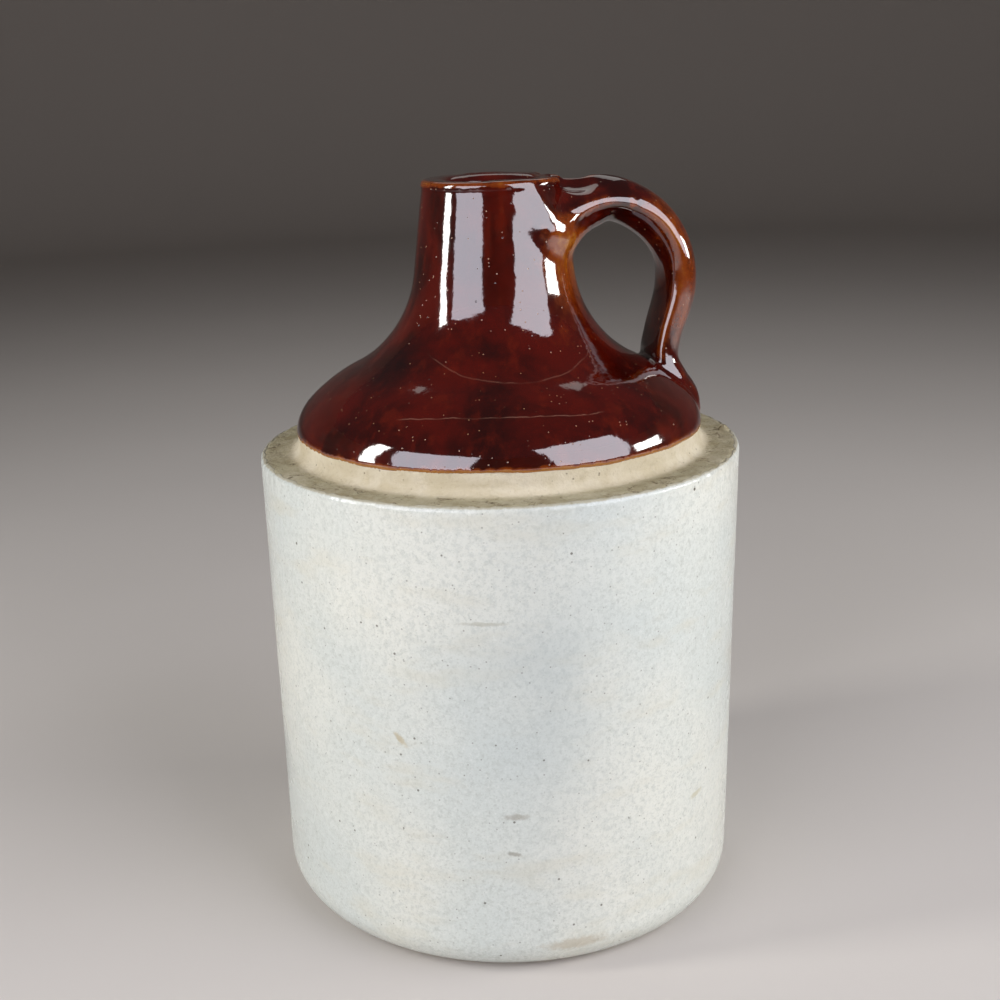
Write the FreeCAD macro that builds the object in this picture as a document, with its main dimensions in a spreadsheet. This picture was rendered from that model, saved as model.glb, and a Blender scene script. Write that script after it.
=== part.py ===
import FreeCAD, Part
import math
import os
import Sketcher

# A one-gallon stoneware shoulder jug, thrown and fired as one piece of clay.
# +Z is up, the origin is the middle of the foot, and the handle points along +X.
# The outside is one turned outline, the handle is a pulled strap lofted between its two
# pressed ends, and the inside, the neck's bore and the mouth are one turned cut.

Vec = FreeCAD.Vector

# Driving dimensions in millimetres, and degrees where the note says so.
sizes = [
    ("overall_height", 276.0, "foot to the top of the rim"),
    ("body_radius", 90.0, "outside, at the ledge"),
    ("side_lean", 0.6, "how much narrower the wall is just above the rounded heel"),
    ("heel_radius", 15.5, "rounding between the wall and the foot"),
    ("top_height", 96.8, "flat ledge round the shoulder to the top of the rim"),
    ("ledge_edge_radius", 1.2, "outer edge of the ledge"),
    ("ledge_width", 14.0, "from the wall in to the bare collar that stands on the ledge"),
    ("collar_foot_radius", 3.5, "hollow rounding between ledge and collar"),
    ("collar_height", 6.0, "ledge to the start of the shoulder's roll"),
    ("roll_radius", 16.0, "tight outer roll of the shoulder"),
    ("roll_turn", 45.0, "degrees that the roll turns"),
    ("dome_radius", 68.0, "easy curve of the dome"),
    ("sweep_radius", 44.0, "hollow sweep from the dome up into the neck"),
    ("neck_top_radius", 25.3, "outside of the neck just under the lip"),
    ("neck_taper", 7.8, "degrees that the neck leans in"),
    ("lip_radius", 2.8, "outer rounding of the lip"),
    ("bore_radius", 15.5, "inside of the neck"),
    ("mouth_radius", 4.5, "rounding from the bore out to the rim"),
    ("wall", 8.0, "thickness of the thrown wall"),
    ("floor", 9.0, "thickness of the floor"),
    ("floor_corner_radius", 18.0, "inside, between floor and wall"),
    ("ceiling_radius", 9.0, "inside, from the wall to the underside of the ledge"),
    ("throat_radius", 3.0, "inside, where that underside turns up into the dome"),
    ("strap_width", 24.0, "across the handle, clear of its ends"),
    ("strap_crest_thickness", 16.0, "through the handle over the finger hole"),
    ("strap_side_thickness", 13.8, "through the handle at its outermost place"),
    ("strap_waist_thickness", 11.5, "through the handle just above the shoulder"),
    ("strap_drop", 2.0, "top of the strap's crest below the rim"),
    ("handle_landing", 12.5, "from the collar in to the strap's middle just above the shoulder"),
    ("handle_reach", 5.9, "from there out to the strap's middle at its outermost place"),
    ("root_inset", 1.8, "neck's side past each edge of the strap's spread upper end"),
    ("tail_width", 32.0, "lower end of the handle, pressed onto the shoulder"),
    ("handle_blend", 3.5, "clay smoothed round both ends of the strap"),
]

doc = FreeCAD.newDocument("StonewareJug")
sheet = doc.addObject("Spreadsheet::Sheet", "Sizes")
for row, (name, value, note) in enumerate(sizes, start=1):
    sheet.set("A%d" % row, name)
    sheet.set("B%d" % row, str(value))
    sheet.setAlias("B%d" % row, name)
    sheet.set("C%d" % row, note)
doc.recompute()

size = {name: float(getattr(sheet, name)) for name, value, note in sizes}


# Outline geometry, all in the plane of the jug's axis: x is the radius and y the height.
def polar(centre, radius, degrees):
    angle = math.radians(degrees)
    return Vec(centre.x + radius * math.cos(angle), centre.y + radius * math.sin(angle), 0)


def bearing(centre, point):
    return math.degrees(math.atan2(point.y - centre.y, point.x - centre.x))


def sweepCentre(domeCentre, domeRadius, sweepRadius, neckPoint, taper):
    # The hollow arc touches the dome below it and the neck's leaning wall above it.
    lean = math.radians(taper)
    outward = Vec(math.cos(lean), math.sin(lean), 0)
    upward = Vec(-math.sin(lean), math.cos(lean), 0)
    start = neckPoint + outward * sweepRadius
    gap = start - domeCentre
    along = gap.dot(upward)
    reach = domeRadius + sweepRadius
    return start + upward * (math.sqrt(reach ** 2 - gap.dot(gap) + along ** 2) - along)


collarRadius = size["body_radius"] - size["ledge_width"]
ledgeHeight = size["overall_height"] - size["top_height"]
rollCentre = Vec(collarRadius - size["roll_radius"], ledgeHeight + size["collar_height"], 0)
domeCentre = polar(rollCentre, size["dome_radius"] - size["roll_radius"], size["roll_turn"] + 180)
lean = size["neck_taper"]
lipCentre = Vec(size["neck_top_radius"] - size["lip_radius"] * math.cos(math.radians(lean)),
                size["overall_height"] - size["lip_radius"], 0)
neckTop = polar(lipCentre, size["lip_radius"], lean)
sweep = sweepCentre(domeCentre, size["dome_radius"], size["sweep_radius"], neckTop, lean)


def domeHeight(radius):
    return domeCentre.y + math.sqrt(size["dome_radius"] ** 2 - (radius - domeCentre.x) ** 2)


# Sketch helpers. An outline is drawn link by link, and each link is (number, first, last):
# its place in the sketch and which of its ends is met first and last on the way round.
def newSketch(name, plane, offset=FreeCAD.Placement()):
    sketch = body.newObject("Sketcher::SketchObject", name)
    origin = next(item for item in body.Origin.OriginFeatures if item.Role == plane)
    sketch.AttachmentSupport = [(origin, "")]
    sketch.MapMode = "FlatFace"
    sketch.AttachmentOffset = offset
    sketch.Visibility = False
    return sketch


def addLine(sketch, start, end):
    return sketch.addGeometry(Part.LineSegment(start, end)), 1, 2


def addArc(sketch, centre, radius, first, last):
    # An arc that runs clockwise is stored from its last bearing to its first.
    low = math.radians(min(first, last))
    high = math.radians(max(first, last))
    circle = Part.Circle(centre, Vec(0, 0, 1), radius)
    number = sketch.addGeometry(Part.ArcOfCircle(circle, low, high))
    return (number, 1, 2) if first < last else (number, 2, 1)


def tie(sketch, kind, *where):
    return sketch.addConstraint(Sketcher.Constraint(kind, *where))


def bind(sketch, kind, *where, to):
    # A dimension that follows cells of the sheet. Angles are given in degrees.
    value = float(sketch.evalExpression(to))
    index = tie(sketch, kind, *where, math.radians(value) if kind == "Angle" else value)
    sketch.setExpression("Constraints[%d]" % index, to)


def closeOutline(sketch, links, corners):
    # Links meet end to end, smoothly unless the first of the two is in corners.
    for link, following in zip(links, links[1:] + links[:1]):
        kind = "Coincident" if link in corners else "Tangent"
        tie(sketch, kind, link[0], link[2], following[0], following[1])


def turned(kind, name, sketch):
    feature = body.newObject("PartDesign::" + kind, name)
    feature.Profile = sketch
    feature.ReferenceAxis = (sketch, ["V_Axis"])
    feature.Angle = 360
    doc.recompute()
    return feature


body = doc.addObject("PartDesign::Body", "Jug")
body.Label = "jug"
axisPoint = (-1, 1)

# The outside, from the middle of the foot out, up to the rim and back down the axis.
outside = newSketch("OutsideOutline", "XZ_Plane")
heelCentre = Vec(size["body_radius"] - size["side_lean"] - size["heel_radius"],
                 size["heel_radius"], 0)
edge = size["ledge_edge_radius"]
edgeCentre = Vec(size["body_radius"] - edge, ledgeHeight - edge, 0)
hollow = size["collar_foot_radius"]
hollowCentre = Vec(collarRadius + hollow, ledgeHeight + hollow, 0)
domeEnd = bearing(domeCentre, sweep)
rimMiddle = Vec(0, size["overall_height"], 0)

foot = addLine(outside, Vec(), Vec(heelCentre.x, 0, 0))
heel = addArc(outside, heelCentre, size["heel_radius"], -90, 0)
side = addLine(outside, polar(heelCentre, size["heel_radius"], 0), polar(edgeCentre, edge, 0))
ledgeEdge = addArc(outside, edgeCentre, edge, 0, 90)
ledge = addLine(outside, polar(edgeCentre, edge, 90), polar(hollowCentre, hollow, 270))
collarFoot = addArc(outside, hollowCentre, hollow, 270, 180)
collar = addLine(outside, polar(hollowCentre, hollow, 180),
                 polar(rollCentre, size["roll_radius"], 0))
roll = addArc(outside, rollCentre, size["roll_radius"], 0, size["roll_turn"])
dome = addArc(outside, domeCentre, size["dome_radius"], size["roll_turn"], domeEnd)
sweepUp = addArc(outside, sweep, size["sweep_radius"], domeEnd + 180, 180 + lean)
neck = addLine(outside, polar(sweep, size["sweep_radius"], 180 + lean), neckTop)
lip = addArc(outside, lipCentre, size["lip_radius"], lean, 90)
rim = addLine(outside, polar(lipCentre, size["lip_radius"], 90), rimMiddle)
outsideAxis = addLine(outside, rimMiddle, Vec())

closeOutline(outside, [foot, heel, side, ledgeEdge, ledge, collarFoot, collar, roll, dome,
                       sweepUp, neck, lip, rim, outsideAxis], [rim, outsideAxis])
tie(outside, "Coincident", foot[0], 1, *axisPoint)
for link in (foot, ledge, rim):
    tie(outside, "Horizontal", link[0])
for link in (collar, outsideAxis):
    tie(outside, "Vertical", link[0])
bind(outside, "Radius", heel[0], to="Sizes.heel_radius")
bind(outside, "Radius", ledgeEdge[0], to="Sizes.ledge_edge_radius")
bind(outside, "Radius", collarFoot[0], to="Sizes.collar_foot_radius")
bind(outside, "Radius", roll[0], to="Sizes.roll_radius")
bind(outside, "Radius", dome[0], to="Sizes.dome_radius")
bind(outside, "Radius", sweepUp[0], to="Sizes.sweep_radius")
bind(outside, "Radius", lip[0], to="Sizes.lip_radius")
bind(outside, "Angle", roll[0], to="Sizes.roll_turn")
bind(outside, "Angle", neck[0], to="90 + Sizes.neck_taper")
bind(outside, "DistanceX", *axisPoint, heel[0], 3,
     to="Sizes.body_radius - Sizes.side_lean - Sizes.heel_radius")
bind(outside, "DistanceX", *axisPoint, ledgeEdge[0], 3,
     to="Sizes.body_radius - Sizes.ledge_edge_radius")
bind(outside, "DistanceX", *axisPoint, collar[0], 1, to="Sizes.body_radius - Sizes.ledge_width")
bind(outside, "DistanceX", *axisPoint, neck[0], 2, to="Sizes.neck_top_radius")
bind(outside, "DistanceY", *axisPoint, rim[0], 2, to="Sizes.overall_height")
bind(outside, "DistanceY", ledge[0], 1, rim[0], 2, to="Sizes.top_height")
bind(outside, "DistanceY", ledge[0], 1, roll[0], 3, to="Sizes.collar_height")
thrown = turned("Revolution", "ThrownForm", outside)


# The handle: crowned strap sections, each square to the handle's run. A section is two wide
# crown arcs closed by two narrow edge arcs, whose radius is this share of its half thickness.
edgeShare = 0.45


def strapSection(name, reach, height, heading, width, thickness):
    offset = FreeCAD.Placement(Vec(0, height, reach), FreeCAD.Rotation(Vec(1, 0, 0), -heading))
    section = newSketch(name, "YZ_Plane", offset)
    edgeRadius = "(%s) * %g / 2" % (thickness, edgeShare)
    edgeReach = "(%s) / 2 - %s" % (width, edgeRadius)
    crownRise = "(%s) / 2 - %s" % (thickness, edgeRadius)
    crownDrop = "((%s)^2 - (%s)^2) / (2 * (%s))" % (edgeReach, crownRise, crownRise)
    narrow = float(section.evalExpression(edgeRadius))
    inner = float(section.evalExpression(edgeReach))
    drop = float(section.evalExpression(crownDrop))
    wide = drop + narrow / edgeShare
    turn = bearing(Vec(0, -drop, 0), Vec(inner, 0, 0))
    right = addArc(section, Vec(inner, 0, 0), narrow, -turn, turn)
    top = addArc(section, Vec(0, -drop, 0), wide, turn, 180 - turn)
    left = addArc(section, Vec(-inner, 0, 0), narrow, 180 - turn, 180 + turn)
    bottom = addArc(section, Vec(0, drop, 0), wide, 180 + turn, 360 - turn)
    closeOutline(section, [right, top, left, bottom], [])
    tie(section, "Symmetric", right[0], 3, left[0], 3, *axisPoint)
    tie(section, "PointOnObject", right[0], 3, -1)
    tie(section, "PointOnObject", top[0], 3, -2)
    bind(section, "Radius", right[0], to=edgeRadius)
    bind(section, "DistanceX", *axisPoint, right[0], 3, to=edgeReach)
    bind(section, "DistanceY", top[0], 3, *axisPoint, to=crownDrop)
    bind(section, "DistanceY", *axisPoint, bottom[0], 3, to=crownDrop)
    return section


# Stations along the strap's middle: distance from the jug's axis, height, width and thickness.
# Above the finger hole a distance is a share of the way from the neck to the handle's
# outermost place, and a height a share of the way down from the strap's crest to the shoulder
# under its foot. The last two stations follow the shoulder down.
neckEdge = size["neck_top_radius"]
landing = collarRadius - size["handle_landing"]
outermost = landing + size["handle_reach"]
span = outermost - neckEdge
drape = landing + 4.5
tail = landing + 8.0
crest = size["overall_height"] - size["strap_drop"] - size["strap_crest_thickness"] / 2
fall = crest - domeHeight(landing)
rootWidth = "2 * (Sizes.neck_top_radius - Sizes.root_inset)"
stations = [
    ("Root", neckEdge * 0.2, crest + 1.0,
     rootWidth, "Sizes.strap_crest_thickness * 0.6"),
    ("Spread", neckEdge * 0.75, crest - 2.0,
     rootWidth + " * 0.83", "Sizes.strap_crest_thickness * 1.1"),
    ("Saddle", neckEdge + span * 0.13, crest - 3.0,
     "Sizes.strap_width * 1.15", "Sizes.strap_crest_thickness * 1.25"),
    ("Crest", neckEdge + span * 0.44, crest,
     "Sizes.strap_width", "Sizes.strap_crest_thickness"),
    ("Bend", neckEdge + span * 0.76, crest - fall * 0.12,
     "Sizes.strap_width", "Sizes.strap_crest_thickness * 0.96"),
    ("Turn", neckEdge + span * 0.96, crest - fall * 0.31,
     "Sizes.strap_width", "Sizes.strap_side_thickness"),
    ("Side", outermost, crest - fall * 0.54,
     "Sizes.strap_width", "Sizes.strap_side_thickness"),
    ("Waist", landing + 1.5, crest - fall * 0.80,
     "Sizes.strap_width * 0.95", "Sizes.strap_waist_thickness"),
    ("Landing", landing + 1.0, crest - fall * 0.97,
     "Sizes.strap_width * 1.08", "Sizes.strap_waist_thickness * 1.15"),
    ("Drape", drape, domeHeight(drape) - 1.0,
     "Sizes.tail_width", "Sizes.strap_waist_thickness * 0.85"),
    ("Tail", tail, domeHeight(tail) - 7.0,
     "Sizes.tail_width * 0.8", "Sizes.strap_waist_thickness * 0.35"),
]


def halfway(before, first, second, after):
    # The middle of a smooth curve between two stations, led by the stations on either side.
    def led(a, b, c, d):
        return (9 * (b + c) - a - d) / 16

    def ledCells(a, b, c, d):
        return "(9 * (%s) + 9 * (%s) - (%s) - (%s)) / 16" % (b, c, a, d)

    name, reach, height, width, thickness = zip(before, first, second, after)
    return (name[1] + name[2], led(*reach), led(*height), ledCells(*width), ledCells(*thickness))


run = []
for place, station in enumerate(stations[:-1]):
    before = stations[max(place - 1, 0)]
    after = stations[min(place + 2, len(stations) - 1)]
    run.append(station)
    run.append(halfway(before, station, stations[place + 1], after))
run.append(stations[-1])

sections = []
for place, (name, reach, height, width, thickness) in enumerate(run):
    before = run[max(place - 1, 0)]
    after = run[min(place + 1, len(run) - 1)]
    heading = math.degrees(math.atan2(after[2] - before[2], after[1] - before[1]))
    sections.append(strapSection("Strap" + name, reach, height, heading, width, thickness))
doc.recompute()
handle = body.newObject("PartDesign::AdditiveLoft", "StrapHandle")
handle.Profile = sections[0]
handle.Sections = sections[1:]
handle.Ruled = False
doc.recompute()

# The inside, from the middle of the floor out, up under the ledge and dome, through the neck
# and out over the rim. Its walls run one wall's thickness inside the outside's arcs.
inside = newSketch("InsideOutline", "XZ_Plane")
wall = size["wall"]
cornerRadius = size["floor_corner_radius"]
ceilingRadius = size["ceiling_radius"]
throatRadius = size["throat_radius"]
mouthRadius = size["mouth_radius"]
cavityRadius = size["body_radius"] - wall
ceilingHeight = ledgeHeight - wall
cornerCentre = Vec(cavityRadius - cornerRadius, size["floor"] + cornerRadius, 0)
ceilingCentre = Vec(cavityRadius - ceilingRadius, ceilingHeight - ceilingRadius, 0)
throatCentre = Vec(collarRadius - wall + throatRadius, ceilingHeight + throatRadius, 0)
mouthCentre = Vec(size["bore_radius"] + mouthRadius, size["overall_height"] - mouthRadius, 0)
boreTop = polar(mouthCentre, mouthRadius, 180)
innerRoll = size["roll_radius"] - wall
innerDome = size["dome_radius"] - wall
innerSweep = size["sweep_radius"] + wall
innerSweepCentre = sweepCentre(domeCentre, innerDome, innerSweep, boreTop, 0)
innerDomeEnd = bearing(domeCentre, innerSweepCentre)
floorMiddle = Vec(0, size["floor"], 0)
aboveRim = Vec(0, size["overall_height"] + mouthRadius, 0)

floorLine = addLine(inside, floorMiddle, polar(cornerCentre, cornerRadius, -90))
floorCorner = addArc(inside, cornerCentre, cornerRadius, -90, 0)
innerWall = addLine(inside, polar(cornerCentre, cornerRadius, 0),
                    polar(ceilingCentre, ceilingRadius, 0))
ceilingRound = addArc(inside, ceilingCentre, ceilingRadius, 0, 90)
ceiling = addLine(inside, polar(ceilingCentre, ceilingRadius, 90),
                  polar(throatCentre, throatRadius, 270))
throatRound = addArc(inside, throatCentre, throatRadius, 270, 180)
throat = addLine(inside, polar(throatCentre, throatRadius, 180), polar(rollCentre, innerRoll, 0))
rollInside = addArc(inside, rollCentre, innerRoll, 0, size["roll_turn"])
domeInside = addArc(inside, domeCentre, innerDome, size["roll_turn"], innerDomeEnd)
sweepInside = addArc(inside, innerSweepCentre, innerSweep, innerDomeEnd + 180, 180)
bore = addLine(inside, polar(innerSweepCentre, innerSweep, 180), boreTop)
mouth = addArc(inside, mouthCentre, mouthRadius, 180, 90)
mouthSide = addLine(inside, polar(mouthCentre, mouthRadius, 90),
                    Vec(mouthCentre.x, aboveRim.y, 0))
mouthLid = addLine(inside, Vec(mouthCentre.x, aboveRim.y, 0), aboveRim)
insideAxis = addLine(inside, aboveRim, floorMiddle)

closeOutline(inside, [floorLine, floorCorner, innerWall, ceilingRound, ceiling, throatRound,
                      throat, rollInside, domeInside, sweepInside, bore, mouth, mouthSide,
                      mouthLid, insideAxis], [mouth, mouthSide, mouthLid, insideAxis])
tie(inside, "PointOnObject", floorLine[0], 1, -2)
for link in (floorLine, ceiling, mouthLid):
    tie(inside, "Horizontal", link[0])
for link in (innerWall, throat, bore, mouthSide, insideAxis):
    tie(inside, "Vertical", link[0])
bind(inside, "Radius", floorCorner[0], to="Sizes.floor_corner_radius")
bind(inside, "Radius", ceilingRound[0], to="Sizes.ceiling_radius")
bind(inside, "Radius", throatRound[0], to="Sizes.throat_radius")
bind(inside, "Radius", rollInside[0], to="Sizes.roll_radius - Sizes.wall")
bind(inside, "Radius", domeInside[0], to="Sizes.dome_radius - Sizes.wall")
bind(inside, "Radius", sweepInside[0], to="Sizes.sweep_radius + Sizes.wall")
bind(inside, "Radius", mouth[0], to="Sizes.mouth_radius")
bind(inside, "Angle", rollInside[0], to="Sizes.roll_turn")
bind(inside, "DistanceX", *axisPoint, innerWall[0], 1, to="Sizes.body_radius - Sizes.wall")
bind(inside, "DistanceX", *axisPoint, throat[0], 1,
     to="Sizes.body_radius - Sizes.ledge_width - Sizes.wall")
bind(inside, "DistanceX", *axisPoint, bore[0], 1, to="Sizes.bore_radius")
bind(inside, "DistanceY", *axisPoint, floorLine[0], 1, to="Sizes.floor")
bind(inside, "DistanceY", *axisPoint, ceiling[0], 1,
     to="Sizes.overall_height - Sizes.top_height - Sizes.wall")
bind(inside, "DistanceY", ceiling[0], 1, rollInside[0], 3, to="Sizes.wall + Sizes.collar_height")
bind(inside, "DistanceX", *axisPoint, mouthSide[0], 1, to="Sizes.bore_radius + Sizes.mouth_radius")
bind(inside, "DistanceY", *axisPoint, mouthSide[0], 1, to="Sizes.overall_height")
bind(inside, "DistanceY", mouthSide[0], 1, mouthSide[0], 2, to="Sizes.mouth_radius")
solidVolume = body.Shape.Volume
hollowed = turned("Groove", "Hollow", inside)

# Both ends of the strap are smoothed onto the jug all round with wet clay.
def isStrap(face):
    return face.Surface.TypeId == "Part::GeomBSplineSurface"


joint = []
for number, seam in enumerate(hollowed.Shape.Edges, start=1):
    faces = hollowed.Shape.ancestorsOfType(seam, Part.Face)
    if len(faces) == 2 and isStrap(faces[0]) != isStrap(faces[1]):
        joint.append("Edge%d" % number)
smoothed = body.newObject("PartDesign::Fillet", "StrapJoint")
smoothed.Base = (hollowed, joint)
smoothed.setExpression("Radius", "Sizes.handle_blend")
doc.recompute()
body.Placement = FreeCAD.Placement()

for item in doc.Objects:
    if "Invalid" in item.State or "Error" in item.State:
        raise RuntimeError("%s did not build: %s" % (item.Label, item.State))
if hollowed.Shape.Volume >= solidVolume:
    raise RuntimeError("the inside was not cut out")
if body.Shape.isNull() or not body.Shape.isValid() or len(body.Shape.Solids) != 1:
    raise RuntimeError("the jug is not one sound solid")

os.makedirs("parts", exist_ok=True)
body.Shape.exportStep("parts/%s.step" % body.Label)
print("jug volume in litres of clay", round(body.Shape.Volume / 1e6, 4))
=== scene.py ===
import math
import bpy
import numpy as np
from mathutils import Matrix, Vector


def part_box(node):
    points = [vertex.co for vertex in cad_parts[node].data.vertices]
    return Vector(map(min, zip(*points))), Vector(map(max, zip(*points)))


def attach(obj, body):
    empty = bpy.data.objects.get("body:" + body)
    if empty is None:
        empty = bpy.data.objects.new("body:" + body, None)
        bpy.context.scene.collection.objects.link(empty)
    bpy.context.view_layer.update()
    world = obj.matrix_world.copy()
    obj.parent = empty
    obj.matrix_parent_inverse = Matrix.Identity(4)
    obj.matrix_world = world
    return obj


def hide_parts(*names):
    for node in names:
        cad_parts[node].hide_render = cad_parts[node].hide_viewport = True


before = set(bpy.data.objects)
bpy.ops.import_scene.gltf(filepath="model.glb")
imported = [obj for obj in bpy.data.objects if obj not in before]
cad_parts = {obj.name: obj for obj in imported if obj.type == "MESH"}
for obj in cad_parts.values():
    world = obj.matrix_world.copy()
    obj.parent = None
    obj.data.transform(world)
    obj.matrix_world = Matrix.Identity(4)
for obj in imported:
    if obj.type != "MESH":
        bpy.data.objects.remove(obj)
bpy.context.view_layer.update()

# A brown-topped stoneware shoulder jug. The brown glazed top with its handle is one skin,
# the white glaze is a coat round the wall, and both stand on the bare clay body.
# Shapes are worked out in millimetres and turned into metres as each mesh is made.
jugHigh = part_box("jug")[1]
rimHeight = jugHigh.z * 1000
wallRadius = jugHigh.x * 1000
print("frame loaded, jug is", round(rimHeight, 1), "mm tall")

jugOutline = {
    "topHeight": 96.8,           # ledge up to the rim
    "ledgeWidth": 14.0,          # wall in to the collar
    "ledgeEdge": 2.2,            # rounding of the ledge's outer edge
    "sideLean": 0.6,             # the wall is this much narrower down at the heel
    "heel": 15.5,                # rounding from the wall to the foot
    "collarHeight": 6.0,         # ledge up to where the collar rolls over
    "collarFoot": 3.5,           # hollow rounding between ledge and collar
    "roll": 16.0,                # rounding from the collar to the dome,
    "rollTurn": 45.0,            # and how many degrees it turns
    "dome": 68.0,                # radius of the shoulder
    "sweep": 44.0,               # radius of the hollow arc into the neck
    "neckTop": 25.3,             # radius of the neck at the rim
    "neckTaper": 7.8,            # lean of the neck's side in degrees
    "lip": 2.8,                  # rounding of the rim's outer edge
    "bore": 15.5,                # radius of the hole in the neck
    "mouth": 4.5,                # rounding from the rim into that hole
    "wall": 8.0, "floor": 9.0,   # thickness of the clay
    "floorCorner": 18.0,         # roundings inside: from the floor to the wall,
    "ceiling": 9.0,              # from the wall to under the ledge,
    "throat": 3.0,               # and from there up into the dome
    "buried": 12.0,              # the section of the top starts this far under the ledge
}
collarRadius = wallRadius - jugOutline["ledgeWidth"]
ledgeHeight = rimHeight - jugOutline["topHeight"]


# Outline work, with a point as (radius, height).
def onArc(centre, radius, degrees):
    angle = math.radians(degrees)
    return (centre[0] + radius * math.cos(angle), centre[1] + radius * math.sin(angle))


def arcPoints(centre, radius, first, last, step=2.5):
    count = max(2, math.ceil(abs(last - first) / step))
    return [onArc(centre, radius, first + (last - first) * n / count) for n in range(count + 1)]


def sweepCentre(domeCentre, domeRadius, sweepRadius, neckPoint, taper):
    # the hollow arc touches the dome below it and the neck's leaning side above it
    lean = math.radians(taper)
    out = np.array((math.cos(lean), math.sin(lean)))
    up = np.array((-math.sin(lean), math.cos(lean)))
    start = np.array(neckPoint) + out * sweepRadius
    gap = start - np.array(domeCentre)
    along = gap @ up
    reach = math.sqrt((domeRadius + sweepRadius) ** 2 - gap @ gap + along ** 2)
    return tuple(start + up * (reach - along))


def bearing(centre, point):
    return math.degrees(math.atan2(point[1] - centre[1], point[0] - centre[0]))


rollCentre = (collarRadius - jugOutline["roll"], ledgeHeight + jugOutline["collarHeight"])
domeCentre = onArc(rollCentre, jugOutline["dome"] - jugOutline["roll"], jugOutline["rollTurn"] + 180)


def topOutline():
    # from under the collar up over the shoulder and neck to the rim
    s = jugOutline
    lean = s["neckTaper"]
    lipCentre = (s["neckTop"] - s["lip"] * math.cos(math.radians(lean)), rimHeight - s["lip"])
    sweep = sweepCentre(domeCentre, s["dome"], s["sweep"], onArc(lipCentre, s["lip"], lean), lean)
    domeEnd = bearing(domeCentre, sweep)
    return ([(collarRadius, ledgeHeight - s["buried"])]
            + arcPoints(rollCentre, s["roll"], 0, s["rollTurn"])
            + arcPoints(domeCentre, s["dome"], s["rollTurn"], domeEnd, 1.0)[1:]
            + arcPoints(sweep, s["sweep"], domeEnd + 180, 180 + lean, 1.5)[1:]
            + arcPoints(lipCentre, s["lip"], lean, 90, 6))


def hollowOutline():
    # from the middle of the floor out, up the wall and through the neck to the rim
    s = jugOutline
    wall = s["wall"]
    cavity, ceiling = wallRadius - wall, ledgeHeight - wall
    corner = (cavity - s["floorCorner"], s["floor"] + s["floorCorner"])
    mouthCentre = (s["bore"] + s["mouth"], rimHeight - s["mouth"])
    boreTop = (s["bore"], mouthCentre[1])
    sweep = sweepCentre(domeCentre, s["dome"] - wall, s["sweep"] + wall, boreTop, 0)
    domeEnd = bearing(domeCentre, sweep)
    throat = (collarRadius - wall + s["throat"], ceiling + s["throat"])
    return ([(0.0, s["floor"])]
            + arcPoints(corner, s["floorCorner"], -90, 0, 8)
            + arcPoints((cavity - s["ceiling"], ceiling - s["ceiling"]), s["ceiling"], 0, 90, 10)
            + arcPoints(throat, s["throat"], 270, 180, 15)
            + arcPoints(rollCentre, s["roll"] - wall, 0, s["rollTurn"], 5)
            + arcPoints(domeCentre, s["dome"] - wall, s["rollTurn"], domeEnd, 1.5)[1:]
            + arcPoints(sweep, s["sweep"] + wall, domeEnd + 180, 180, 1.5)[1:]
            + arcPoints(mouthCentre, s["mouth"], 180, 90, 5))


# Soft lumps for hand-made surfaces: smooth steps between random values on a wrapped lattice.
latticeSize = 24


def lumps(points, size, seed):
    lattice = np.random.default_rng(seed).random((latticeSize,) * 3) * 2 - 1
    at = points / size + 1000.0      # far enough along to keep every cell's number above 0
    cell = np.floor(at).astype(int)
    part = at - cell
    part = part * part * (3 - 2 * part)
    total = np.zeros(len(points))
    for i in (0, 1):
        for j in (0, 1):
            for k in (0, 1):
                share = (np.abs(1 - i - part[:, 0]) * np.abs(1 - j - part[:, 1])
                         * np.abs(1 - k - part[:, 2]))
                corner = (cell + (i, j, k)) % latticeSize
                total += share * lattice[corner[:, 0], corner[:, 1], corner[:, 2]]
    return total


def lumpLayers(points, layers):
    # lumps of several sizes together, each layer with its size, share and seed
    return sum(lumps(points, size, seed) * share for size, share, seed in layers)


def smoothStep(low, high, value):
    share = np.clip((value - low) / (high - low), 0, 1)
    return share * share * (3 - 2 * share)


def melted(first, second, blend):
    # the nearer of two surfaces, run together where they meet
    share = np.maximum(blend - np.abs(first - second), 0) / blend
    return np.minimum(first, second) - share * share * blend / 4


def carved(first, second, blend):
    # only what is inside both, with a soft edge where they meet
    return -melted(-first, -second, blend)


def makeMesh(name, points, faces):
    # a smooth mesh from points in millimetres; a three-sided face has -1 in its last place
    faces = np.asarray(faces)
    sizes = (faces >= 0).sum(axis=1)
    corners = faces[faces >= 0]
    mesh = bpy.data.meshes.new(name)
    mesh.vertices.add(len(points))
    mesh.vertices.foreach_set("co", (np.asarray(points, float) / 1000).ravel())
    mesh.loops.add(len(corners))
    mesh.loops.foreach_set("vertex_index", corners.astype(np.int32))
    mesh.polygons.add(len(sizes))
    mesh.polygons.foreach_set("loop_start", (np.cumsum(sizes) - sizes).astype(np.int32))
    mesh.polygons.foreach_set("use_smooth", np.full(len(sizes), True))
    mesh.update(calc_edges=True)
    mesh.validate()
    piece = bpy.data.objects.new(name, mesh)
    bpy.context.scene.collection.objects.link(piece)
    return piece


def paint(piece, name, values):
    # a value at each vertex that the piece's finish can read
    layer = piece.data.attributes.new(name, "FLOAT", "POINT")
    layer.data.foreach_set("value", np.asarray(values, dtype=np.float32))


# Distance tables: how far a point of a half section is from an outline, below 0 inside it.
tableStep = 0.5


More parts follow.
